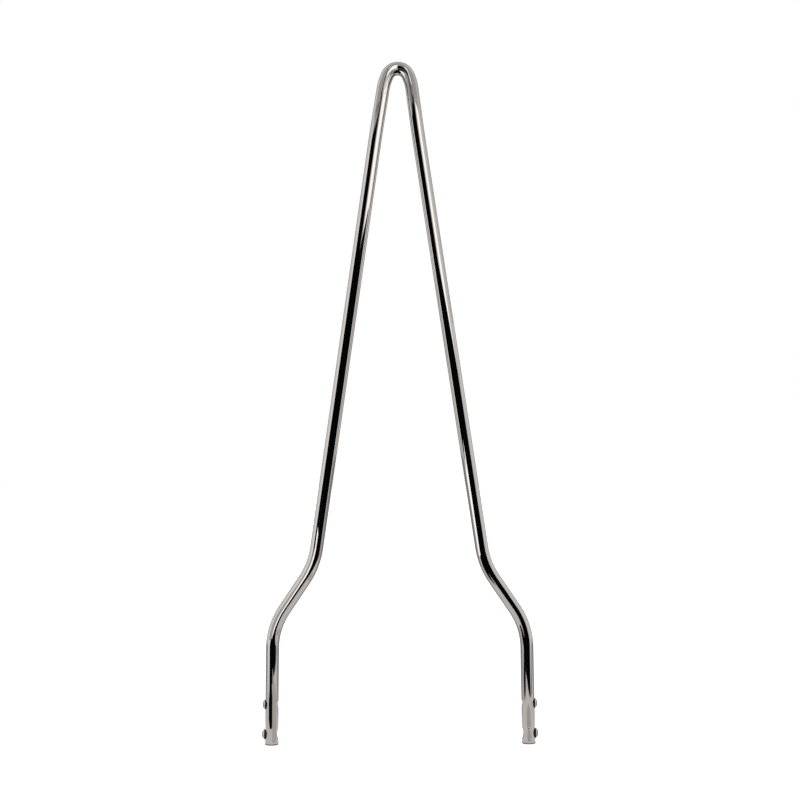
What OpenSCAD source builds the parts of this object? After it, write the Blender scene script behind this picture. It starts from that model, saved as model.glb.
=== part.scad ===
// Tall sissy bar for a motorcycle: one solid round bar, bent flat, with four short button head screws in its feet.
// The frame is +Z up and X across, with the origin midway between the feet at the level of their ends.

/* [Bar] */
// Diameter of the solid round bar
bar_d = 14.3; // [12:0.1:16]
// Straight length of each long leg, between its bends
leg_len = 507; // [350:1:580]
// Straight length of each foot, from its end to its bend
foot_len = 105.5; // [80:0.5:150]
// Distance between the centres of the two feet at their ends
foot_spread = 281.4; // [260:0.2:330]

/* [Bends] */
// Lean of each long leg from the vertical, in degrees
leg_lean = 8.44; // [7:0.02:9.6]
// Lean of the short stretch that steps out to each foot, in degrees
step_lean = 34.1; // [30:0.1:40]
// Lean of each foot, which splays out a little towards its end, in degrees
foot_lean = 0.8; // [0:0.1:2]
// Centreline radius of the tight bend at the crown
crown_r = 12.3; // [10:0.1:16]
// How far the tight bend turns to each side of the top, in degrees
crown_turn = 65; // [50:1:75]
// Centreline radius of the shoulders that lead from the crown into the legs
shoulder_r = 56.4; // [30:0.2:90]
// Centreline radius of the bend between leg and step
hip_r = 85; // [50:1:110]
// Centreline radius of the bend between step and foot
ankle_r = 76.5; // [45:0.5:100]
// How much the bar's diameter draws down where it is bent
draw_down = 0.14; // [0.1:0.02:0.3]

/* [Foot ends] */
// How much the foot's radius swells towards its end
flare = 0.3; // [0.1:0.05:0.6]
// Height of the swelling
flare_len = 5; // [3:0.5:5]
// Chamfer around the foot's end
end_chamfer = 0.7; // [0.3:0.1:1.5]
// Depth of the pressed flat on the front of the right foot
pad_depth = 0.35; // [0.1:0.05:1]
// Length of the pressed flat
pad_len = 27; // [15:1:32]
// Height of the middle of the pressed flat, from the foot's end
pad_z = 28; // [24:1:32]

/* [Screw holes] */
// Height of the lower hole from the foot's end
lower_z = 11.2; // [10:0.1:13]
// Distance between the two holes of a foot
hole_pitch = 32.6; // [30:0.1:40]
// Depth of the flat seat under the upper screw's head
upper_seat = 0.7; // [0.3:0.05:1.2]
// Depth of the flat seat under the lower screw's head
lower_seat = 0.15; // [0.1:0.05:1]
// Gap around the head in its seat
seat_gap = 0.4; // [0.2:0.1:1]
// Diameter of the socket in the foot's inner side, which takes a side plate's boss
socket_d = 8; // [7:0.1:9]
// Depth of the socket from the bar's inner side
socket_depth = 5.2; // [4.4:0.1:5.4]
// Diameter of the upper socket's countersunk mouth, at the bar's inner side
upper_mouth_d = 9.3; // [9.1:0.1:11]
// Diameter of the lower socket's countersunk mouth, at the bar's inner side
lower_mouth_d = 12.7; // [10:0.1:13]

/* [Screws] */
// Diameter of the screw's thread
screw_d = 6.35; // [5:0.05:6.5]
// Gap between the upper screw's tip and the socket in front of it
tip_gap = 0.4; // [0.2:0.1:1.5]
// Diameter of the domed head
head_d = 11.1; // [9:0.1:12]
// Height of the domed head
head_h = 3.35; // [2.8:0.05:4]
// Height of the straight rim under the dome
rim_h = 0.75; // [0.4:0.05:1]
// Diameter of the flat land around the hexagon socket
land_d = 5.6; // [5:0.1:6]
// Width across the flats of the hexagon socket
hex_af = 4; // [3:0.1:4.2]
// Depth of the hexagon socket
hex_depth = 2.1; // [1.5:0.1:2.4]
// Chamfer on the screw's tip
tip_chamfer = 0.7; // [0.3:0.1:1]
// Radial gap between the thread and its hole
thread_gap = 0.05; // [0.02:0.01:0.1]

/* [Hidden] */
$fn = 96;

bar_r = bar_d / 2;
end_r = bar_r + flare;
upper_z = lower_z + hole_pitch;
// Length of a screw below its head
screw_len = bar_d - upper_seat - socket_depth - tip_gap;
// Lean of the bar where the crown's tight bend begins
crown_lean = 90 - crown_turn;
// Lift of the foot's centre that brings the low edge of its square end to the floor
end_lift = (end_r - end_chamfer) * sin(foot_lean);
// What the spread leaves for the step, once every other stretch has taken its share
rest_of_spread = foot_len * sin(foot_lean)
    + ankle_r * (cos(foot_lean) - cos(step_lean))
    + hip_r * (cos(leg_lean) - cos(step_lean))
    + leg_len * sin(leg_lean)
    + shoulder_r * (cos(leg_lean) - cos(crown_lean))
    + crown_r * cos(crown_lean);
step_len = (foot_spread / 2 - rest_of_spread) / sin(step_lean);
// Height of the bar's centreline at the middle of the crown
crown_z = end_lift + foot_len * cos(foot_lean)
    + ankle_r * (sin(step_lean) - sin(foot_lean))
    + step_len * cos(step_lean)
    + hip_r * (sin(step_lean) - sin(leg_lean))
    + leg_len * cos(leg_lean)
    + shoulder_r * (sin(crown_lean) - sin(leg_lean))
    + crown_r * (1 - sin(crown_lean));
// How far a straight stretch reaches into the bends at its ends
lap = 0.3;
// Radius of the sphere that passes through the head's rim and the edge of its land
dome_rise = head_h - rim_h;
dome_drop = (pow(head_d / 2, 2) - pow(land_d / 2, 2) - pow(dome_rise, 2)) / (2 * dome_rise);
dome_r = sqrt(pow(head_d / 2, 2) + pow(dome_drop, 2));
// Margin by which a cut runs past the face that it opens
past = 5;

// A straight stretch of the bar along +Z; what follows it is placed at its end
module run(len) {
    translate([0, 0, -lap]) cylinder(d = bar_d, h = len + 2 * lap);
    translate([0, 0, len]) children();
}

// A bend from +Z towards -X; what follows it is placed at its end
module bend_in(r, turn) {
    translate([-r, 0, 0]) {
        rotate([90, 0, 0]) rotate_extrude(angle = turn) translate([r, 0]) circle(d = bar_d - draw_down);
        rotate([0, -turn, 0]) translate([r, 0, 0]) children();
    }
}

// A bend from +Z towards +X; what follows it is placed at its end
module bend_out(r, turn) {
    mirror([1, 0, 0]) bend_in(r, turn);
    translate([r, 0, 0]) rotate([0, turn, 0]) translate([-r, 0, 0]) children();
}

// The swollen and chamfered end of a foot, inside its straight stretch
module foot_end() {
    rotate_extrude() polygon([
        [0, 0],
        [end_r - end_chamfer, 0],
        [end_r, end_chamfer],
        [bar_r, flare_len],
        [0, flare_len]
    ]);
}

// The right half, from the foot's end up to the middle of the crown
module half_bar() {
    on_right_foot() {
        foot_end();
        translate([0, 0, flare_len])
            run(foot_len - flare_len)
            bend_in(ankle_r, step_lean - foot_lean)
            run(step_len)
            bend_out(hip_r, step_lean - leg_lean)
            run(leg_len)
            bend_in(shoulder_r, crown_lean - leg_lean)
            run(0)
            bend_in(crown_r, crown_turn);
    }
}

// The short level stretch where the two halves meet at the top
module crown_tie() {
    translate([-lap, 0, crown_z]) rotate([0, 90, 0]) cylinder(d = bar_d, h = 2 * lap);
}

// Places its children in the right foot's own frame: origin at the foot's end, +Z up the foot, +X outwards
module on_right_foot() {
    translate([foot_spread / 2, 0, end_lift]) rotate([0, -foot_lean, 0]) children();
}

module on_left_foot() {
    mirror([1, 0, 0]) on_right_foot() children();
}

// A cylinder or cone along +X from x1 to x2 at height z
module along_x(z, x1, x2, d1, d2) {
    translate([x1, 0, z]) rotate([0, 90, 0]) cylinder(h = x2 - x1, d1 = d1, d2 = d2);
}

// One hole across the foot: a flat seat outside, a threaded middle, and a countersunk socket inside
module screw_hole(z, seat, mouth_d) {
    seat_x = bar_r - seat;
    step_x = socket_depth - bar_r;
    sink = (mouth_d - socket_d) / 2;
    seat_d = head_d + 2 * seat_gap;
    hole_d = screw_d + 2 * thread_gap;
    along_x(z, seat_x, bar_r + past, seat_d, seat_d);
    along_x(z, 0, seat_x + past, hole_d, hole_d);
    along_x(z, step_x, 0, hole_d, hole_d);
    along_x(z, -bar_r - past, step_x, socket_d, socket_d);
    along_x(z, -bar_r - past, sink - bar_r, mouth_d + 2 * past, socket_d);
}

module foot_holes() {
    screw_hole(upper_z, upper_seat, upper_mouth_d);
    screw_hole(lower_z, lower_seat, lower_mouth_d);
}

// The block that presses the flat on the front of the right foot
module pad_cut() {
    translate([-bar_r, -bar_r - past, pad_z - pad_len / 2]) cube([bar_d, past + pad_depth, pad_len]);
}

module bent_bar() {
    color("silver") difference() {
        union() {
            half_bar();
            mirror([1, 0, 0]) half_bar();
            crown_tie();
        }
        on_right_foot() {
            foot_holes();
            pad_cut();
        }
        on_left_foot() foot_holes();
    }
}

// A button head screw along -Z with the underside of its head at the origin
module button_screw() {
    difference() {
        union() {
            intersection() {
                cylinder(d = head_d, h = head_h);
                translate([0, 0, rim_h - dome_drop]) sphere(r = dome_r);
            }
            rotate_extrude() polygon([
                [0, -screw_len],
                [screw_d / 2 - tip_chamfer, -screw_len],
                [screw_d / 2, tip_chamfer - screw_len],
                [screw_d / 2, rim_h / 2],
                [0, rim_h / 2]
            ]);
        }
        translate([0, 0, head_h - hex_depth]) cylinder(d = hex_af / cos(30), h = hex_depth + past, $fn = 6);
        translate([0, 0, head_h - hex_depth - hex_af / 4]) cylinder(d1 = 0, d2 = hex_af, h = hex_af / 4);
    }
}

// A screw seated in the foot's own frame, with its head outside
module seated_screw(z, seat) {
    color("darkgray") translate([bar_r - seat, 0, z]) rotate([0, 90, 0]) button_screw();
}

module left_upper_screw() { on_left_foot() seated_screw(upper_z, upper_seat); }
module left_lower_screw() { on_left_foot() seated_screw(lower_z, lower_seat); }
module right_upper_screw() { on_right_foot() seated_screw(upper_z, upper_seat); }
module right_lower_screw() { on_right_foot() seated_screw(lower_z, lower_seat); }

bent_bar();
left_upper_screw();
left_lower_screw();
right_upper_screw();
right_lower_screw();
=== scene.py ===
from math import asin, cos, pi, radians, sin, sqrt

import bmesh
import bpy
from bpy.props import FloatProperty, FloatVectorProperty, IntProperty, PointerProperty
from mathutils import Matrix, Vector


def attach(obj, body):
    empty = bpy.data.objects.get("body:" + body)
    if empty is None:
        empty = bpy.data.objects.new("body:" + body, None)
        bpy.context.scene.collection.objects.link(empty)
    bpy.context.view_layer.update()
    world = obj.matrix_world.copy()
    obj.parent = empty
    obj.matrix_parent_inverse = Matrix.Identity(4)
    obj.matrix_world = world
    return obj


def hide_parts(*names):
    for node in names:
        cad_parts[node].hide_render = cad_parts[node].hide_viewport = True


bl_info = {
    "name": "Chrome Sissy Bar",
    "version": (1, 0, 0),
    "blender": (4, 5, 0),
    "location": "3D View > Sidebar > Sissy Bar",
    "description": "Builds a tall sissy bar of chromed round bar, its screws and a white studio",
    "category": "Add Mesh",
}

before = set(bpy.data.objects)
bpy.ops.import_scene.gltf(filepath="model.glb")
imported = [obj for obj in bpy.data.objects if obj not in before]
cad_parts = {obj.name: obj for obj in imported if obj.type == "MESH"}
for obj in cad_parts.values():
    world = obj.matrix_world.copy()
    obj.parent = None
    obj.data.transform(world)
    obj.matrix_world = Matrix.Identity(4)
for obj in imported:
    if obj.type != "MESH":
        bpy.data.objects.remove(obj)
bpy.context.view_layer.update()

MM = 0.001
BODY = "root"
# Edges that turn by more than this stay sharp: on a piece as it is made, and on the drilled bar
SHARP = radians(28)
DRILLED_SHARP = radians(20)
# Points closer together than this are merged: in a turned or drilled mesh, where the bar's two
# halves meet, and by the mirror that makes the second half
MERGE = 1e-7
MERGE_HALVES = 1e-6
MIRROR_REACH = 1e-5
# Faces around a hole or a screw
TURNED_SIDES = 96
# Spacing of the rings along the bar: close around the holes, wider where the bar is plain
HOLES_END = 60 * MM
HOLE_RINGS = 1.5 * MM
FOOT_RINGS = 6 * MM
LEG_RINGS = 15 * MM
BEND_RINGS = radians(1.5)
CROWN_RINGS = radians(2)
# A thread's depth, the run of each flank and of the flat at its root, as shares of its pitch
THREAD_DEPTH = 0.61
FLANK = 0.44
ROOT_FLAT = 0.12


def linear(code):
    """An sRGB hex colour such as "#C8C4C0" as linear red, green, blue and alpha."""
    values = [int(code[i:i + 2], 16) / 255 for i in (1, 3, 5)]
    return [v / 12.92 if v <= 0.04045 else ((v + 0.055) / 1.055) ** 2.4 for v in values] + [1.0]


def length(name, description, default_mm, low_mm, high_mm):
    """A size property in metres, given in millimetres."""
    return FloatProperty(
        name=name, description=description, default=default_mm * MM,
        min=low_mm * MM, max=high_mm * MM, precision=5, unit="LENGTH",
    )


def angle(name, description, default_deg, low_deg, high_deg):
    """An angle property, given in degrees."""
    return FloatProperty(
        name=name, description=description, default=radians(default_deg),
        min=radians(low_deg), max=radians(high_deg), precision=4, unit="ROTATION",
    )


def colour(name, description, code):
    """A colour property whose default is an sRGB hex value."""
    return FloatVectorProperty(
        name=name, description=description, default=linear(code)[:3],
        size=3, min=0, max=1, subtype="COLOR",
    )


class SissyBarShape(bpy.types.PropertyGroup):
    """Sizes of the bent bar."""

    bar_d: length("Bar diameter", "Diameter of the solid round bar", 14.3, 12, 16)
    leg: length("Leg", "Straight length of each long leg", 507, 350, 580)
    foot: length("Foot", "Straight length of each foot", 105.5, 80, 150)
    spread: length("Foot spread", "Distance between the feet at their ends", 281.4, 260, 330)
    leg_lean: angle("Leg lean", "Lean of each long leg from the vertical", 8.44, 7, 9.6)
    step_lean: angle("Step lean", "Lean of the stretch that steps out to each foot", 34.1, 30, 40)
    foot_lean: angle("Foot lean", "Outward splay of each foot", 0.8, 0, 2)
    crown_r: length("Crown radius", "Centreline radius of the tight bend at the top", 12.3, 10, 16)
    crown_turn: angle("Crown turn", "Turn of the tight bend to each side of the top", 65, 50, 75)
    shoulder_r: length("Shoulder radius", "Centreline radius between crown and leg", 56.4, 30, 90)
    hip_r: length("Hip radius", "Centreline radius between leg and step", 85, 50, 110)
    ankle_r: length("Ankle radius", "Centreline radius between step and foot", 76.5, 45, 100)
    crown_shift: length("Crown shift", "How far the crown sits to one side", 1.2, 0, 3)
    crease: length("Crease", "Depth of the crease across the front of the crown", 1.9, 0, 3)
    crease_w: length("Crease width", "Distance over which the crease fades to each side", 12, 2, 16)
    pinch: length("Pinch", "Swelling of the inner side at the middle of the crown", 0.7, 0, 2)
    flare: length("Flare", "Swelling of the foot's radius at its end", 0.27, 0, 1)
    flare_len: length("Flare length", "Height of the swelling", 8, 2, 12)
    end_chamfer: length("End chamfer", "Chamfer around the foot's end", 0.7, 0.2, 1.5)
    pad_depth: length("Pad depth", "Depth of the pressed flat on one foot", 0.35, 0.1, 1)
    pad_len: length("Pad length", "Length of the pressed flat", 27, 15, 32)
    pad_z: length("Pad height", "Height of the middle of the pressed flat", 28, 24, 32)
    sides: IntProperty(
        name="Sides", description="Faces around the bar", default=128, min=32, max=256,
    )


class SissyBarHoles(bpy.types.PropertyGroup):
    """Sizes of the screw holes and of the screws in them."""

    lower_z: length("Lower hole", "Height of the lower hole above the foot's end", 11.2, 10, 13)
    pitch: length("Pitch", "Distance between the two holes of a foot", 32.6, 30, 40)
    upper_seat: length("Upper seat", "Depth of the flat under the upper head", 0.7, 0.3, 1.2)
    lower_seat: length("Lower seat", "Depth of the flat under the lower head", 0.15, 0.1, 1)
    seat_gap: length("Seat gap", "Gap around the head in its seat", 0.4, 0.2, 1)
    socket_d: length("Socket diameter", "Diameter of the inner socket", 8, 7, 9)
    socket_depth: length("Socket depth", "Depth of the inner socket", 5.2, 4, 5.4)
    upper_mouth_d: length("Upper mouth", "Countersink diameter of the upper socket", 9.3, 9, 11)
    lower_mouth_d: length("Lower mouth", "Countersink diameter of the lower socket", 12.7, 10, 13)
    screw_d: length("Thread diameter", "Outer diameter of the screw's thread", 6.35, 5, 6.5)
    thread_pitch: length("Thread pitch", "Distance between the thread's turns", 1.27, 0.8, 1.6)
    thread_gap: length("Thread gap", "Radial gap between thread and hole", 0.05, 0.02, 0.1)
    tip_gap: length("Tip gap", "Gap from the screw's tip to the socket", 0.4, 0.2, 1.5)
    head_d: length("Head diameter", "Diameter of the domed head", 11.1, 9, 12)
    head_h: length("Head height", "Height of the domed head", 3.35, 2.8, 4)
    rim_h: length("Rim height", "Height of the straight rim under the dome", 0.75, 0.4, 1)
    land_d: length("Land diameter", "Flat land around the hexagon socket", 5.6, 5, 6)
    hex_af: length("Hexagon", "Width across the flats of the hexagon socket", 4, 3, 4.2)
    hex_depth: length("Hexagon depth", "Depth of the hexagon socket", 2.1, 1.5, 2.4)
    tip_chamfer: length("Tip chamfer", "Chamfer on the screw's tip", 0.7, 0.3, 1)


class SissyBarFinish(bpy.types.PropertyGroup):
    """Colours of the metals, and of the shade painted on the screw heads."""

    chrome: colour("Chrome", "Decorative chromium plate, slightly warm", "#BFBBB8")
    bore: colour("Bore", "Thin dull plate inside the holes", "#8B8682")
    zinc: colour("Zinc", "Bright zinc plate on the screws", "#CCCAC7")
    # Painted shade, not a dull plate: the dark rings at the head's rim and around its socket's land
    painted_shade: colour("Painted shade", "Dull plate at the head's rim and around its socket", "#454340")


class SissyBarStudio(bpy.types.PropertyGroup):
    """The camera and the studio."""

    distance: FloatProperty(
        name="Camera distance", description="Distance of the camera from the bar's plane",
        default=2.02, min=1, max=6, unit="LENGTH",
    )
    camera_x: length("Camera side", "Sideways place of the camera", 1.75, -100, 100)
    camera_z: length("Camera height", "Height of the camera above the feet", 376.45, 0, 1500)
    lens: FloatProperty(
        name="Lens", description="Focal length of the camera", default=83.04, min=20, max=200,
    )
    roll: angle("Roll", "Roll of the camera", 0.304, -5, 5)
    paper: colour("Paper", "White paper of the floor and the backdrop", "#F2F2F2")


def props():
    """The four groups of settings."""
    scene = bpy.context.scene
    return scene.sissy_shape, scene.sissy_holes, scene.sissy_finish, scene.sissy_studio


# Materials


def add_node(tree, kind, inputs=None, **settings):
    """Adds a node, sets its properties, and fills or links the inputs that are named."""
    node = tree.nodes.new(kind)
    for name, value in settings.items():
        setattr(node, name, value)
    for name, value in (inputs or {}).items():
        if isinstance(value, bpy.types.NodeSocket):
            tree.links.new(value, node.inputs[name])
        else:
            node.inputs[name].default_value = value
    return node


def new_material(name):
    """An empty node material and its tree."""
    made = bpy.data.materials.new(name)
    made.use_nodes = True
    made.node_tree.nodes.clear()
    return made, made.node_tree


def millimetres(tree, stretch=(1, 1, 1)):
    """Object coordinates in millimetres, so that a texture's scale is turns per millimetre."""
    place = add_node(tree, "ShaderNodeTexCoord")
    scale = [s / MM for s in stretch]
    return add_node(
        tree, "ShaderNodeMapping", {"Vector": place.outputs["Object"], "Scale": scale},
    ).outputs["Vector"]


def noise(tree, vector, size_mm, detail=2.0):
    """Noise whose features are about size_mm across."""
    return add_node(
        tree, "ShaderNodeTexNoise", {"Vector": vector, "Scale": 1 / size_mm, "Detail": detail},
    ).outputs["Fac"]


def ranged(tree, value, low, high, start=0.3, end=0.7):
    """value from start to end, as low to high."""
    return add_node(
        tree, "ShaderNodeMapRange",
        {"Value": value, "From Min": start, "From Max": end, "To Min": low, "To Max": high},
    ).outputs["Result"]


def polished_chrome(finish):
    """Electroplated chromium over polished steel: a mirror with faint waves left by the polishing
    wheel and a haze of hairlines that run along the bar."""
    made, tree = new_material("polished_chrome_plate")
    wave_mm = 14
    wave_depth = 0.012 * MM
    # Real hairlines are hundredths of a millimetre wide; these are as coarse as they need to show
    hairline_mm = 0.5
    hairline_depth = 0.0004 * MM
    hairline_stretch = 0.08
    place = millimetres(tree)
    along = millimetres(tree, (1, 1, hairline_stretch))
    waves = noise(tree, place, wave_mm, 1.0)
    hairlines = noise(tree, along, hairline_mm)
    wave_bump = add_node(
        tree, "ShaderNodeBump", {"Height": waves, "Distance": wave_depth, "Strength": 1.0},
    )
    line_bump = add_node(
        tree, "ShaderNodeBump",
        {"Height": hairlines, "Distance": hairline_depth, "Strength": 1.0,
         "Normal": wave_bump.outputs["Normal"]},
    )
    shader = add_node(
        tree, "ShaderNodeBsdfPrincipled",
        {"Base Color": list(finish.chrome) + [1], "Metallic": 1.0,
         "Roughness": ranged(tree, hairlines, 0.03, 0.06),
         "Normal": line_bump.outputs["Normal"]},
    )
    add_node(tree, "ShaderNodeOutputMaterial", {"Surface": shader.outputs["BSDF"]})
    return made


def drilled_steel(finish):
    """Drilled steel that the plating bath barely reached: dull grey with the drill's fine rings."""
    made, tree = new_material("drilled_steel_thin_plate")
    # Squeezed along X, as the holes run, to rings about 0.13 mm apart
    ring_mm = 0.8
    squeeze = 6
    ring_depth = 0.01 * MM
    rings = noise(tree, millimetres(tree, (squeeze, 1, 1)), ring_mm)
    bump = add_node(
        tree, "ShaderNodeBump", {"Height": rings, "Distance": ring_depth, "Strength": 1.0},
    )
    shader = add_node(
        tree, "ShaderNodeBsdfPrincipled",
        {"Base Color": list(finish.bore) + [1], "Metallic": 1.0,
         "Roughness": ranged(tree, rings, 0.22, 0.4), "Normal": bump.outputs["Normal"]},
    )
    add_node(tree, "ShaderNodeOutputMaterial", {"Surface": shader.outputs["BSDF"]})
    return made


def bright_zinc(finish):
    """Bright zinc plate on a cold-headed steel screw: a softer, slightly uneven mirror that stays
    bright on the dome, with painted shade in a dark ring at its rim, where it sits in its seat,
    and in another around the socket's land."""
    made, tree = new_material("bright_zinc_plate")
    mottle_mm = 1.2
    mottle_depth = 0.003 * MM
    # Distances from the screw's axis, in mm, over which the two rings of painted shade fade in or
    # out
    rim_shade_in = (5.0, 5.4)
    land_shade_in = (2.4, 2.7)
    land_shade_out = (4.0, 4.5)
    mottle = noise(tree, millimetres(tree), mottle_mm)
    radius = add_node(tree, "ShaderNodeAttribute", attribute_name="radius_mm").outputs["Fac"]
    # Painted shade: a dark ring at the rim and another around the socket's land
    rim = ranged(tree, radius, 0, 1, *rim_shade_in)
    inner = ranged(tree, radius, 0, 1, *land_shade_in)
    outer = ranged(tree, radius, 1, 0, *land_shade_out)
    land = add_node(tree, "ShaderNodeMath", {0: inner, 1: outer}, operation="MULTIPLY").outputs[0]
    dull = add_node(tree, "ShaderNodeMath", {0: rim, 1: land}, operation="MAXIMUM").outputs[0]
    # The zinc, darkened by painted shade where the two rings are
    plate = add_node(
        tree, "ShaderNodeMix",
        {"Factor": dull, "A": list(finish.zinc) + [1], "B": list(finish.painted_shade) + [1]},
        data_type="RGBA",
    ).outputs["Result"]
    bump = add_node(
        tree, "ShaderNodeBump", {"Height": mottle, "Distance": mottle_depth, "Strength": 1.0},
    )
    shader = add_node(
        tree, "ShaderNodeBsdfPrincipled",
        {"Base Color": plate, "Metallic": 1.0,
         "Roughness": ranged(tree, mottle, 0.05, 0.1), "Normal": bump.outputs["Normal"]},
    )
    add_node(tree, "ShaderNodeOutputMaterial", {"Surface": shader.outputs["BSDF"]})
    return made


# Mesh helpers


def smooth_edges(bm, sharp):
    """Smooths the edges between two faces that turn by less than sharp."""
    for edge in bm.edges:
        edge.smooth = len(edge.link_faces) == 2 and edge.calc_face_angle() < sharp


def as_object(name, bm, material):
    """Makes an object of bm, smooth but for its sharp edges."""
    for face in bm.faces:
        face.smooth = True
    smooth_edges(bm, SHARP)
    mesh = bpy.data.meshes.new(name)
    bm.to_mesh(mesh)
    bm.free()
    mesh.materials.append(material)
    made = bpy.data.objects.new(name, mesh)
    bpy.context.scene.collection.objects.link(made)
    return made


def grow(bm, edges, offset=(0, 0, 0), scale=1.0, centre=(0, 0, 0)):
    """Extrudes a loop of edges, moves and scales the new loop, and gives its edges."""
    made = bmesh.ops.extrude_edge_only(bm, edges=edges)["geom"]
    verts = [g for g in made if isinstance(g, bmesh.types.BMVert)]
    bmesh.ops.translate(bm, verts=verts, vec=offset)
    if scale != 1.0:
        middle = Vector(centre) + Vector(offset)
        space = Matrix.Translation(-middle)
        bmesh.ops.scale(bm, verts=verts, vec=(scale, scale, scale), space=space)
    return [g for g in made if isinstance(g, bmesh.types.BMEdge)]


def circle(bm, radius, segments, matrix):
    """A round loop of edges, placed by matrix."""
    made = bmesh.ops.create_circle(bm, segments=segments, radius=radius, matrix=matrix)
    return list({e for v in made["verts"] for e in v.link_edges})


def lathe(bm, profile, segments):
    """Turns a profile of (radius, height) points about Z into a closed solid."""
    verts = [bm.verts.new((r, 0, z)) for r, z in profile]
    edges = [bm.edges.new(pair) for pair in zip(verts, verts[1:])]
    bmesh.ops.spin(
        bm, geom=verts + edges, cent=(0, 0, 0), axis=(0, 0, 1), dvec=(0, 0, 0),
        angle=2 * pi, steps=segments, use_merge=True,
    )
    bmesh.ops.remove_doubles(bm, verts=bm.verts, dist=MERGE)
    bmesh.ops.recalc_face_normals(bm, faces=bm.faces)


# The bent bar


class Walker:
    """Draws a bent bar by pulling one ring of edges along the bar's centreline."""

    def __init__(self, bm, place, lean, radius, segments):
        self.bm = bm
        self.place = Vector(place)
        self.lean = lean
        turn = Matrix.Rotation(-lean, 4, "Y")
        self.ring = circle(bm, radius, segments, Matrix.Translation(self.place) @ turn)

    def ahead(self):
        """The way that the bar runs, up and inwards."""
        return Vector((-sin(self.lean), 0, cos(self.lean)))

    def swell(self, distance, scale):
        """A short stretch over which the bar's radius changes by a factor."""
        self.ring = grow(self.bm, self.ring, self.ahead() * distance, scale, self.place)
        self.place += self.ahead() * distance

    def run(self, distance, spacing):
        """A straight stretch, with a ring at least every spacing."""
        count = max(1, round(distance / spacing))
        for _ in range(count):
            self.swell(distance / count, 1.0)

    def bend(self, radius, to_lean, step):
        """A bend of centreline radius until the bar leans by to_lean."""
        turn = to_lean - self.lean
        side = -1 if turn > 0 else 1
        across = Vector((cos(self.lean), 0, sin(self.lean)))
        centre = self.place + across * side * radius
        count = max(2, round(abs(turn) / step))
        verts = list({v for e in self.ring for v in e.verts})
        made = bmesh.ops.spin(
            self.bm, geom=verts + self.ring, cent=centre, axis=(0, -1, 0),
            dvec=(0, 0, 0), angle=turn, steps=count,
        )["geom_last"]
        self.ring = [g for g in made if isinstance(g, bmesh.types.BMEdge)]
        self.place = centre + Matrix.Rotation(-turn, 3, "Y") @ (self.place - centre)
        self.lean = to_lean


def foot_matrix(shape, right=True):
    """The foot's own frame: origin at the middle of its end, Z up the foot and X outwards."""
    radius = shape.bar_d / 2 + shape.flare - shape.end_chamfer
    place = Vector((shape.spread / 2, 0, radius * sin(shape.foot_lean)))
    matrix = Matrix.Translation(place) @ Matrix.Rotation(-shape.foot_lean, 4, "Y")
    return matrix if right else Matrix.Scale(-1, 4, (1, 0, 0)) @ matrix


def half_bar(bm, shape):
    """The right half, from the foot's end to the middle of the crown. Gives the crown's height."""
    bar_r = shape.bar_d / 2
    end_r = bar_r + shape.flare
    first_r = end_r - shape.end_chamfer
    walker = Walker(bm, foot_matrix(shape).translation, shape.foot_lean, first_r, shape.sides)
    bmesh.ops.edgeloop_fill(bm, edges=walker.ring)
    # The hammered end: a rounded edge, then a swelling that dies out up the foot
    arc_steps, flare_steps = 5, 10
    radius = first_r
    for i in range(1, arc_steps + 1):
        part = i / arc_steps * pi / 2
        wanted = first_r + shape.end_chamfer * sin(part)
        rise = shape.end_chamfer * (cos((i - 1) / arc_steps * pi / 2) - cos(part))
        walker.swell(rise, wanted / radius)
        radius = wanted
    for i in range(1, flare_steps + 1):
        wanted = bar_r + shape.flare * (0.5 + 0.5 * cos(pi * i / flare_steps))
        walker.swell((shape.flare_len - shape.end_chamfer) / flare_steps, wanted / radius)
        radius = wanted
    walker.run(HOLES_END - shape.flare_len, HOLE_RINGS)
    walker.run(shape.foot - HOLES_END, FOOT_RINGS)
    crown_lean = pi / 2 - shape.crown_turn
    taken = (
        shape.foot * sin(shape.foot_lean)
        + shape.ankle_r * (cos(shape.foot_lean) - cos(shape.step_lean))
        + shape.hip_r * (cos(shape.leg_lean) - cos(shape.step_lean))
        + shape.leg * sin(shape.leg_lean)
        + shape.shoulder_r * (cos(shape.leg_lean) - cos(crown_lean))
        + shape.crown_r * cos(crown_lean)
    )
    step = (shape.spread / 2 - taken) / sin(shape.step_lean)
    walker.bend(shape.ankle_r, shape.step_lean, BEND_RINGS)
    walker.run(step, FOOT_RINGS)
    walker.bend(shape.hip_r, shape.leg_lean, BEND_RINGS)
    walker.run(shape.leg, LEG_RINGS)
    walker.bend(shape.shoulder_r, crown_lean, BEND_RINGS)
    walker.bend(shape.crown_r, pi / 2, CROWN_RINGS)
    return walker.place.z


def shape_crown(bm, shape, crown_z):
    """Shifts the crown a little to one side, creases it where the two halves of the tight bend meet
    and swells its inner side there, as a solid bar does when it is forced round a small radius."""
    bar_r = shape.bar_d / 2
    # How far down from the top the shift to one side reaches
    reach = 90 * MM
    # Powers by which the forms die out: the crease to each side and away from the bar's front,
    # the swelling to each side and away from its inner side
    crease_side, crease_front, pinch_side, pinch_inner = 1.25, 1.5, 3, 2
    for vert in bm.verts:
        x, y, z = vert.co
        away = crown_z + bar_r - z
        if away > reach:
            continue
        near = max(0.0, 1 - abs(x) / shape.crease_w)
        if near > 0 and away < 2 * shape.bar_d:
            front = (abs(y) / bar_r) ** crease_front
            vert.co.y -= shape.crease * near ** crease_side * front * (1 if y > 0 else -1)
            inner = max(0.0, -(z - crown_z) / bar_r)
            vert.co.z -= shape.pinch * near ** pinch_side * inner ** pinch_inner
        rise = 1 - min(1.0, away / reach)
        vert.co.x += shape.crown_shift * rise * rise * (3 - 2 * rise)


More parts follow.
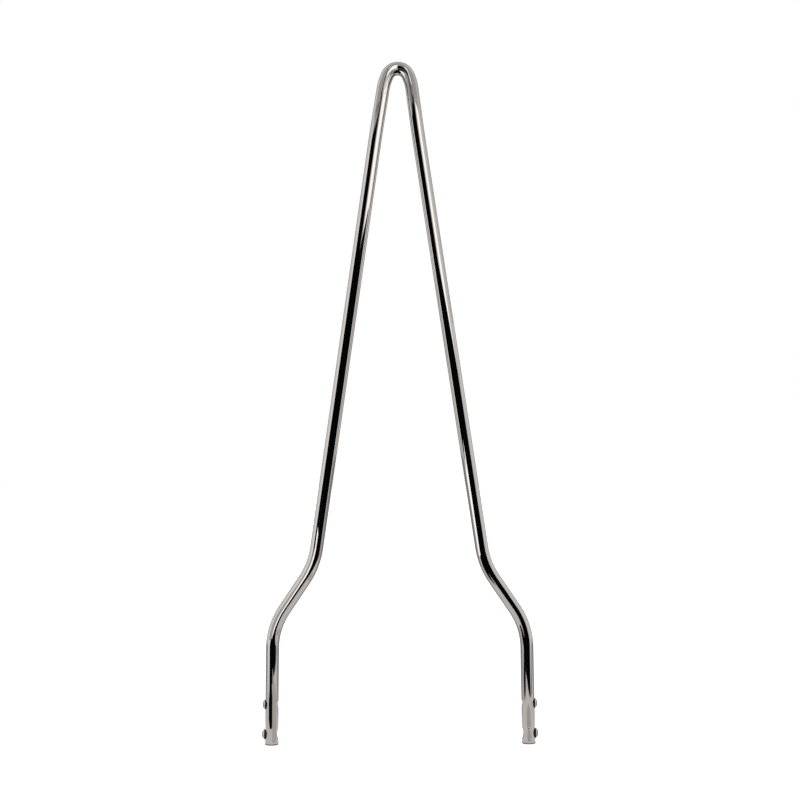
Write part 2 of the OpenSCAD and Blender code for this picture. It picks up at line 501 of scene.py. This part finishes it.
def hole_profile(shape, holes, seat, mouth_d):
    """The stepped hole as a lathe profile: radius, and height from the bar's middle outwards."""
    bar_r = shape.bar_d / 2
    # Margin by which the cut runs past the bar
    past = 5 * MM
    seat_r = holes.head_d / 2 + holes.seat_gap
    hole_r = holes.screw_d / 2 + holes.thread_gap
    socket_r = holes.socket_d / 2
    sink = (mouth_d - holes.socket_d) / 2
    return [
        (0, bar_r + past),
        (seat_r, bar_r + past),
        (seat_r, bar_r - seat),
        (hole_r, bar_r - seat),
        (hole_r, holes.socket_depth - bar_r),
        (socket_r, holes.socket_depth - bar_r),
        (socket_r, sink - bar_r),
        (mouth_d / 2 + past, -bar_r - past),
        (0, -bar_r - past),
    ]


def across_foot(shape, z, right):
    """Places what stands on Z across the foot at height z, with Z outwards."""
    turn = Matrix.Rotation(pi / 2, 4, "Y")
    return foot_matrix(shape, right) @ Matrix.Translation((0, 0, z)) @ turn


def hole_places(holes):
    """Height, seat depth and mouth of the upper and the lower hole, by name."""
    return {
        "upper": (holes.lower_z + holes.pitch, holes.upper_seat, holes.upper_mouth_d),
        "lower": (holes.lower_z, holes.lower_seat, holes.lower_mouth_d),
    }


def make_cutters(shape, holes, material):
    """One solid for each screw hole."""
    made = []
    for right in (True, False):
        for z, seat, mouth_d in hole_places(holes).values():
            bm = bmesh.new()
            lathe(bm, hole_profile(shape, holes, seat, mouth_d), TURNED_SIDES)
            bmesh.ops.transform(bm, matrix=across_foot(shape, z, right), verts=bm.verts)
            bmesh.ops.recalc_face_normals(bm, faces=bm.faces)
            made.append(as_object("cutter", bm, material))
    return made


def cut(target, cutters):
    """Cuts the cutters out of the target and deletes them."""
    group = bpy.data.collections.new("cutters")
    for cutter in cutters:
        group.objects.link(cutter)
    modifier = target.modifiers.new("Holes", "BOOLEAN")
    modifier.operation = "DIFFERENCE"
    modifier.operand_type = "COLLECTION"
    modifier.collection = group
    modifier.solver = "EXACT"
    modifier.material_mode = "TRANSFER"
    graph = bpy.context.evaluated_depsgraph_get()
    mesh = bpy.data.meshes.new_from_object(target.evaluated_get(graph))
    target.modifiers.clear()
    target.data = mesh
    for cutter in cutters:
        bpy.data.objects.remove(cutter)
    bpy.data.collections.remove(group)


def press_flat(bm, shape):
    """Presses a flat with soft ends on the front of the right foot."""
    bar_r = shape.bar_d / 2
    back = foot_matrix(shape)
    to_foot = back.inverted()
    # Length over which the flat fades out at each end
    fade = 5 * MM
    for vert in bm.verts:
        if vert.co.x < 0:
            continue
        local = to_foot @ vert.co
        ends = shape.pad_len / 2 - abs(local.z - shape.pad_z)
        if ends <= 0 or local.y >= 0:
            continue
        depth = shape.pad_depth * min(1.0, ends / fade)
        if local.y < depth - bar_r:
            local.y = depth - bar_r
            vert.co = back @ local


class SISSYBAR_OT_bar(bpy.types.Operator):
    """Bend the bar, crease its crown, press its flat and drill its feet"""

    bl_idname = "sissybar.bar"
    bl_label = "Bent Bar"

    def execute(self, context):
        shape, holes, finish, _ = props()
        bm = bmesh.new()
        crown_z = half_bar(bm, shape)
        half = bm.verts[:] + bm.edges[:] + bm.faces[:]
        bmesh.ops.mirror(bm, geom=half, axis="X", merge_dist=MIRROR_REACH)
        bmesh.ops.remove_doubles(bm, verts=bm.verts, dist=MERGE_HALVES)
        bmesh.ops.recalc_face_normals(bm, faces=bm.faces)
        shape_crown(bm, shape, crown_z)
        press_flat(bm, shape)
        bar = as_object("chromed_bent_bar", bm, polished_chrome(finish))
        cut(bar, make_cutters(shape, holes, drilled_steel(finish)))
        bm = bmesh.new()
        bm.from_mesh(bar.data)
        bmesh.ops.remove_doubles(bm, verts=bm.verts, dist=MERGE)
        smooth_edges(bm, DRILLED_SHARP)
        bm.to_mesh(bar.data)
        bm.free()
        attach(bar, BODY)
        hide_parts("bent_bar")
        return {"FINISHED"}


# The screws


def dome(holes):
    """Points of the head's outside from its seat to the land, as (radius, height)."""
    head_r, land_r = holes.head_d / 2, holes.land_d / 2
    rise = holes.head_h - holes.rim_h
    drop = (head_r ** 2 - land_r ** 2 - rise ** 2) / (2 * rise)
    dome_r = sqrt(head_r ** 2 + drop ** 2)
    start = asin(drop / dome_r)
    end = asin((drop + rise) / dome_r)
    steps = 18
    # The rim's lower edge is broken in two short faces, which meet at this share of it
    edge = 0.15 * MM
    share = 0.3
    points = [(head_r - edge, 0), (head_r - share * edge, share * edge), (head_r, edge)]
    for i in range(steps + 1):
        part = start + (end - start) * i / steps
        points.append((dome_r * cos(part), holes.rim_h - drop + dome_r * sin(part)))
    return points


def screw_mesh(holes, shank):
    """A button head screw along -Z with the underside of its head at the origin."""
    bm = bmesh.new()
    crest = holes.screw_d / 2
    root = crest - THREAD_DEPTH * holes.thread_pitch
    radius = crest - holes.tip_chamfer
    ring = circle(bm, radius, TURNED_SIDES, Matrix.Translation((0, 0, -shank)))
    bmesh.ops.edgeloop_fill(bm, edges=ring)
    ring = grow(bm, ring, (0, 0, holes.tip_chamfer), crest / radius, (0, 0, -shank))
    z, radius = holes.tip_chamfer - shank, crest
    # At least one and a half turns' length stays plain under the head
    plain = 1.5 * holes.thread_pitch
    turns = int((-z - plain) / holes.thread_pitch)
    for _ in range(turns):
        for dz, wanted in ((FLANK, root), (ROOT_FLAT, root), (FLANK, crest)):
            rise = dz * holes.thread_pitch
            ring = grow(bm, ring, (0, 0, rise), wanted / radius, (0, 0, z))
            z, radius = z + rise, wanted
    ring = grow(bm, ring, (0, 0, -z), 1.0)
    z = 0
    for wanted, height in dome(holes):
        ring = grow(bm, ring, (0, 0, height - z), wanted / radius, (0, 0, z))
        z, radius = height, wanted
    hex_socket(bm, holes, ring, TURNED_SIDES)
    bmesh.ops.recalc_face_normals(bm, faces=bm.faces)
    # The rings of painted shade on the zinc read each point's distance from the screw's axis
    radius_mm = bm.verts.layers.float.new("radius_mm")
    for vert in bm.verts:
        vert[radius_mm] = vert.co.xy.length / MM
    return bm


def hex_socket(bm, holes, ring, sides):
    """Sinks a hexagon socket with a drilled bottom in the land that ring bounds. The bridges mostly
    pair their loops half a turn off: flat faces then close the socket's mouth and its bottom."""
    corner_r = holes.hex_af / 2 / cos(pi / 6)
    top = Matrix.Translation((0, 0, holes.head_h))
    mouth = circle(bm, corner_r, 6, top)
    bmesh.ops.subdivide_edges(bm, edges=mouth, cuts=sides // 6 - 1)
    corners = [v for v in bm.verts if not v.link_faces]
    mouth = list({e for v in corners for e in v.link_edges})
    bmesh.ops.bridge_loops(bm, edges=ring + mouth)
    wall = grow(bm, mouth, (0, 0, -holes.hex_depth))
    low = Matrix.Translation((0, 0, holes.head_h - holes.hex_depth))
    drill = circle(bm, holes.hex_af / 2, sides, low)
    bmesh.ops.bridge_loops(bm, edges=wall + drill)
    # The drilled bottom ends in a blunt tip, this share as wide as its mouth
    tip = 0.02
    cone = grow(bm, drill, (0, 0, -holes.hex_af / 4), tip, (0, 0, low.translation.z))
    bmesh.ops.edgeloop_fill(bm, edges=cone)


class SISSYBAR_OT_screws(bpy.types.Operator):
    """Turn the four button head screws and seat them in the feet"""

    bl_idname = "sissybar.screws"
    bl_label = "Foot Screws"

    def execute(self, context):
        shape, holes, finish, _ = props()
        bar_r = shape.bar_d / 2
        shank = shape.bar_d - holes.upper_seat - holes.socket_depth - holes.tip_gap
        material = bright_zinc(finish)
        for right in (False, True):
            for level, (z, seat, _) in hole_places(holes).items():
                side = "right" if right else "left"
                bm = screw_mesh(holes, shank)
                place = across_foot(shape, z, right) @ Matrix.Translation((0, 0, bar_r - seat))
                bmesh.ops.transform(bm, matrix=place, verts=bm.verts)
                bmesh.ops.recalc_face_normals(bm, faces=bm.faces)
                screw = as_object(f"{side}_{level}_button_screw", bm, material)
                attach(screw, BODY)
                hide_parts(f"{side}_{level}_screw")
        return {"FINISHED"}


# The studio: a tent of cards that only the metal sees, all in millimetres

# The light of a white card and of a black one
WHITE = 1.9
BLACK = 0.003
# The card stock's tint, the cream of the top sheet and the table, and a blush for two cards
STOCK = linear("#FFFEFD")
CREAM = linear("#FFFCFA")
BLUSH = linear("#FFF9F7")

# The side sheets lean towards the bar: their distance from it at a height, and its growth below
LEAN_FROM = 664
LEFT_LEAN = (42.5, 0.2907)
RIGHT_LEAN = (43.9, 0.2693)
LEFT_SHEET = [
    (-69.6, 705), (-345.3, 250), (-311, 110), (-380, 75), (-380, 1), (-6000, 1), (-6000, 712),
    (-70.3, 712),
]
RIGHT_SHEET = [(61, 705), (290, 250), (380, 110), (380, 1), (6000, 1), (6000, 720), (61, 720)]
# The sheet above them, with a notch in front of the crown
TOP_SHEET_Y = -60
TOP_SHEET = [
    (-500, 700), (-90, 690), (-50, 696), (-34, 708), (-38, 724), (-27, 730), (-27, 790), (22, 790),
    (22, 718), (60, 722), (400, 715), (400, 1300), (-500, 1300),
]
# The shade beside the crown
SHADE_Y = -200
SHADE = [(-150, 722), (-60, 722), (-28, 728), (-28, 741), (-150, 741)]
# The window, which brightens from its left end over a range of X
WINDOW_Y = -700
WINDOW_FADE = (40, 360)
WINDOW = [
    (0, 580), (250, 578), (570, 567), (924, 562), (1586, 520), (4000, 330), (4000, 1200), (0, 1200),
]
# The upright white card beside the left step, as (x, z) down its length; its top is slanted
UPRIGHT_NEAR, UPRIGHT_FAR = -55, -234
UPRIGHT_SLANT = 20
UPRIGHT = [(-116, 278), (-118, 215), (-142, 171), (-158, 145), (-165, 113)]
# The table: where its light part ends in front of the feet, and a dark gap in it
TABLE_Z = 0.04
TABLE = [
    (-3000, 3000), (-3000, -430), (-160, -430), (40, -450), (200, -375), (388, -240), (513, -139),
    (3000, -100), (3000, 3000),
]
GAP_Z = 0.06
GAP = [
    (-141, -110), (-105, -130), (-80, -240), (-84, -300), (-120, -400), (-165, -452), (-620, -452),
    (-600, -320), (-461, -222), (-290, -112), (-200, -100),
]
# Each foot's painted contact shadow, a grey card under it that only the metal sees: the feet's
# distance from the middle, and the card's half width and depth
FOOT_X = 140.7
SHADOW_X, SHADOW_Y, SHADOW_Z = 12, 13, 0.1


def paper(studio):
    """White paper sweep: the camera sees it white, and it keeps the bar's shadow."""
    made, tree = new_material("white_paper_sweep")
    fibre_mm = 1.5
    fibre_depth = 0.02 * MM
    # Light that only the camera gets, which takes the lit paper to white
    lift = 0.45
    path = add_node(tree, "ShaderNodeLightPath")
    fibres = noise(tree, millimetres(tree), fibre_mm)
    bump = add_node(
        tree, "ShaderNodeBump", {"Height": fibres, "Distance": fibre_depth, "Strength": 0.3},
    )
    sheet = add_node(
        tree, "ShaderNodeBsdfDiffuse",
        {"Color": list(studio.paper) + [1], "Normal": bump.outputs["Normal"]},
    )
    shown = ranged(tree, path.outputs["Is Camera Ray"], 0, lift, 0, 1)
    seen = add_node(tree, "ShaderNodeEmission", {"Color": (1, 1, 1, 1), "Strength": shown})
    both = add_node(tree, "ShaderNodeAddShader", {0: sheet.outputs[0], 1: seen.outputs[0]})
    add_node(tree, "ShaderNodeOutputMaterial", {"Surface": both.outputs[0]})
    return made


def card_glow(name, strength, fade, tint):
    """A card's own even light, or light that rises from nothing across a range of X in mm."""
    made, tree = new_material(name)
    glow = add_node(tree, "ShaderNodeEmission", {"Color": tint, "Strength": strength})
    if fade is not None:
        across = add_node(tree, "ShaderNodeSeparateXYZ", {"Vector": millimetres(tree)})
        rise = ranged(tree, across.outputs["X"], 0, strength, *fade)
        tree.links.new(rise, glow.inputs["Strength"])
    add_node(tree, "ShaderNodeOutputMaterial", {"Surface": glow.outputs[0]})
    return made


def hang_card(name, corners, strength, fade=None, tint=STOCK):
    """Hangs a flat card that only the metal sees. Corners are in millimetres."""
    bm = bmesh.new()
    verts = [bm.verts.new([c * MM for c in corner]) for corner in corners]
    edges = [bm.edges.new(pair) for pair in zip(verts, verts[1:] + verts[:1])]
    bmesh.ops.triangle_fill(bm, edges=edges, use_beauty=True)
    card = as_object(name, bm, card_glow(name, strength, fade, tint))
    card.visible_camera = False
    card.visible_diffuse = False
    card.visible_shadow = False


def leaning(outline, lean):
    """The corners of a side sheet that leans towards the bar, from its (x, z) outline."""
    gap, growth = lean
    return [(x, -gap - growth * (LEAN_FROM - z), z) for x, z in outline]


def upright(y, outline):
    """The corners of a card that stands across the view, from its (x, z) outline."""
    return [(x, y, z) for x, z in outline]


def level(z, outline):
    """The corners of a card that lies level, from its (x, y) outline."""
    return [(x, y, z) for x, y in outline]


def box(a1, a2, b1, b2):
    """A rectangle's outline, from its range in the first and in the second direction."""
    return [(a1, b1), (a2, b1), (a2, b2), (a1, b2)]


def hang_tent():
    """Hangs the tent's sheets, the window, the cards and the dark room beyond them."""
    hang_card("left_sheet", leaning(LEFT_SHEET, LEFT_LEAN), 1.25)
    hang_card("right_sheet", leaning(RIGHT_SHEET, RIGHT_LEAN), 0.95)
    hang_card("top_sheet", upright(TOP_SHEET_Y, TOP_SHEET), 0.56, tint=CREAM)
    hang_card("window", upright(WINDOW_Y, WINDOW), WHITE, WINDOW_FADE)
    hang_crown_cards()
    hang_step_cards()
    lay_floor()
    hang_room()


def hang_crown_cards():
    """The cards that light the crown and its crease."""
    hang_card("crown_card", upright(-200, box(13, 140, 755, 1000)), WHITE)
    hang_card("crown_grey_card", upright(-200, box(-28, 13, 738, 1000)), 0.58)
    hang_card("crown_low_card", level(708, box(-110, -22, -25, -60)), WHITE)
    hang_card("crown_low_back", level(707.9, box(-110, -22, -25, -60)), 0.3)
    hang_card("crown_right_card", level(713.5, box(24, 110, -25, -60)), 0.6)
    hang_card("crown_shade", upright(SHADE_Y, SHADE), 0.22)


def hang_step_cards():
    """The white card beside the left step, with its grey fill and black stop, and the left foot's
    card."""
    for i, ((xa, za), (xb, zb)) in enumerate(zip(UPRIGHT, UPRIGHT[1:])):
        slant = UPRIGHT_SLANT if i == 0 else 0
        corners = [
            (xa, UPRIGHT_NEAR, za - slant), (xa, UPRIGHT_FAR, za + slant),
            (xb, UPRIGHT_FAR, zb), (xb, UPRIGHT_NEAR, zb),
        ]
        hang_card(f"upright_card_{i + 1}", corners, WHITE)
    fill = [(-118.5, -55, 215), (-165, -55, 113), (-400, -75, 113), (-400, -75, 215)]
    hang_card("side_fill", fill, 0.62)
    stop = [(-108, 245), (-80, 218), (-78, 310), (-104, 310)]
    hang_card("upright_stop", upright(-30, stop), BLACK)
    foot = [(-134, -40, 0.1), (-134, -40, 80), (-96, -8, 42), (-96, -8, 0.1)]
    hang_card("foot_card", foot, 0.66, tint=BLUSH)


def lay_floor():
    """The table and what lies on it, each sheet a hair above the one before."""
    hang_card("dark_floor", level(0.02, box(-3000, 3000, -1300, -100)), BLACK)
    hang_card("table", level(TABLE_Z, TABLE), 0.87, tint=CREAM)
    hang_card("table_gap", level(GAP_Z, GAP), BLACK)
    hang_card("back_floor", level(0.06, box(-1600, 1600, 110, 1500)), 0.35)
    hang_card("table_patch", level(0.08, box(118, 180, -40, -270)), 0.6, tint=BLUSH)
    # Grey cards under the feet that only the metal sees: a painted contact shadow in its
    # reflections
    for number, middle in ((1, -FOOT_X), (3, FOOT_X)):
        shadow_outline = box(middle - SHADOW_X, middle + SHADOW_X, -SHADOW_Y, SHADOW_Y)
        hang_card(f"contact_shadow_card_{number}", level(SHADOW_Z, shadow_outline), 0.25)


def hang_room():
    """The room's walls: grey ones behind the bar and a dark one in front of it."""
    hang_card("back_flag", upright(1500, box(-1600, 1600, 0, 1700)), 0.28)
    hang_card("back_top", upright(1500, box(-1600, 1600, 1700, 7000)), 0.45)
    right_back = [(600, y, z) for y, z in box(90, 270, 560, 1100)]
    hang_card("right_back", right_back, 0.5)
    hang_card("dark_room", upright(-1300, box(-6000, 6000, 0, 1700)), BLACK)


class SISSYBAR_OT_studio(bpy.types.Operator):
    """Set up the camera, the paper floor, the tent and the world"""

    bl_idname = "sissybar.studio"
    bl_label = "Studio"

    def execute(self, context):
        _, _, _, studio = props()
        scene = context.scene
        scene.view_settings.view_transform = "Standard"
        self.camera(scene, studio)
        self.floor(studio)
        self.world(scene)
        hang_tent()
        return {"FINISHED"}

    def camera(self, scene, studio):
        """A level camera in front of the bar, with a trace of roll."""
        data = bpy.data.cameras.new("camera")
        data.lens = studio.lens
        camera = bpy.data.objects.new("camera", data)
        scene.collection.objects.link(camera)
        camera.location = (studio.camera_x, -studio.distance, studio.camera_z)
        turn = Matrix.Rotation(pi / 2, 3, "X") @ Matrix.Rotation(-studio.roll, 3, "Z")
        camera.rotation_euler = turn.to_euler()
        scene.camera = camera

    def floor(self, studio):
        """The paper that the bar stands on."""
        half_width = 6
        bm = bmesh.new()
        bmesh.ops.create_grid(bm, x_segments=1, y_segments=1, size=half_width)
        as_object("floor", bm, paper(studio))

    def world(self, scene):
        """White to the camera and in the metal, and a little lower for everything else."""
        white = 1.0
        plain = 0.9
        world = bpy.data.worlds.new("studio")
        world.use_nodes = True
        tree = world.node_tree
        tree.nodes.clear()
        path = add_node(tree, "ShaderNodeLightPath")
        shown = path.outputs["Is Camera Ray"]
        for name in ("Is Glossy Ray", "Is Transmission Ray"):
            shown = add_node(
                tree, "ShaderNodeMath", {0: shown, 1: path.outputs[name]}, operation="MAXIMUM",
            ).outputs[0]
        back = add_node(
            tree, "ShaderNodeBackground",
            {"Color": (1, 1, 1, 1), "Strength": ranged(tree, shown, plain, white, 0, 1)},
        )
        add_node(tree, "ShaderNodeOutputWorld", {"Surface": back.outputs[0]})
        scene.world = world


class SISSYBAR_PT_panel(bpy.types.Panel):
    """Settings of the sissy bar"""

    bl_idname = "SISSYBAR_PT_panel"
    bl_label = "Sissy Bar"
    bl_space_type = "VIEW_3D"
    bl_region_type = "UI"
    bl_category = "Sissy Bar"

    def draw(self, context):
        for group in props():
            box = self.layout.box()
            for name in group.bl_rna.properties.keys():
                if name not in ("rna_type", "name"):
                    box.prop(group, name)
        for operator in OPERATORS:
            self.layout.operator(operator.bl_idname)


OPERATORS = (SISSYBAR_OT_bar, SISSYBAR_OT_screws, SISSYBAR_OT_studio)
GROUPS = {
    "sissy_shape": SissyBarShape,
    "sissy_holes": SissyBarHoles,
    "sissy_finish": SissyBarFinish,
    "sissy_studio": SissyBarStudio,
}


def register():
    for group in GROUPS.values():
        bpy.utils.register_class(group)
    for operator in OPERATORS:
        bpy.utils.register_class(operator)
    bpy.utils.register_class(SISSYBAR_PT_panel)
    for name, group in GROUPS.items():
        setattr(bpy.types.Scene, name, PointerProperty(type=group))


def unregister():
    for name in GROUPS:
        delattr(bpy.types.Scene, name)
    bpy.utils.unregister_class(SISSYBAR_PT_panel)
    for operator in reversed(OPERATORS):
        bpy.utils.unregister_class(operator)
    for group in reversed(GROUPS.values()):
        bpy.utils.unregister_class(group)


def main():
    register()
    bpy.ops.sissybar.bar()
    bpy.ops.sissybar.screws()
    bpy.ops.sissybar.studio()


if __name__ == "__main__":
    main()
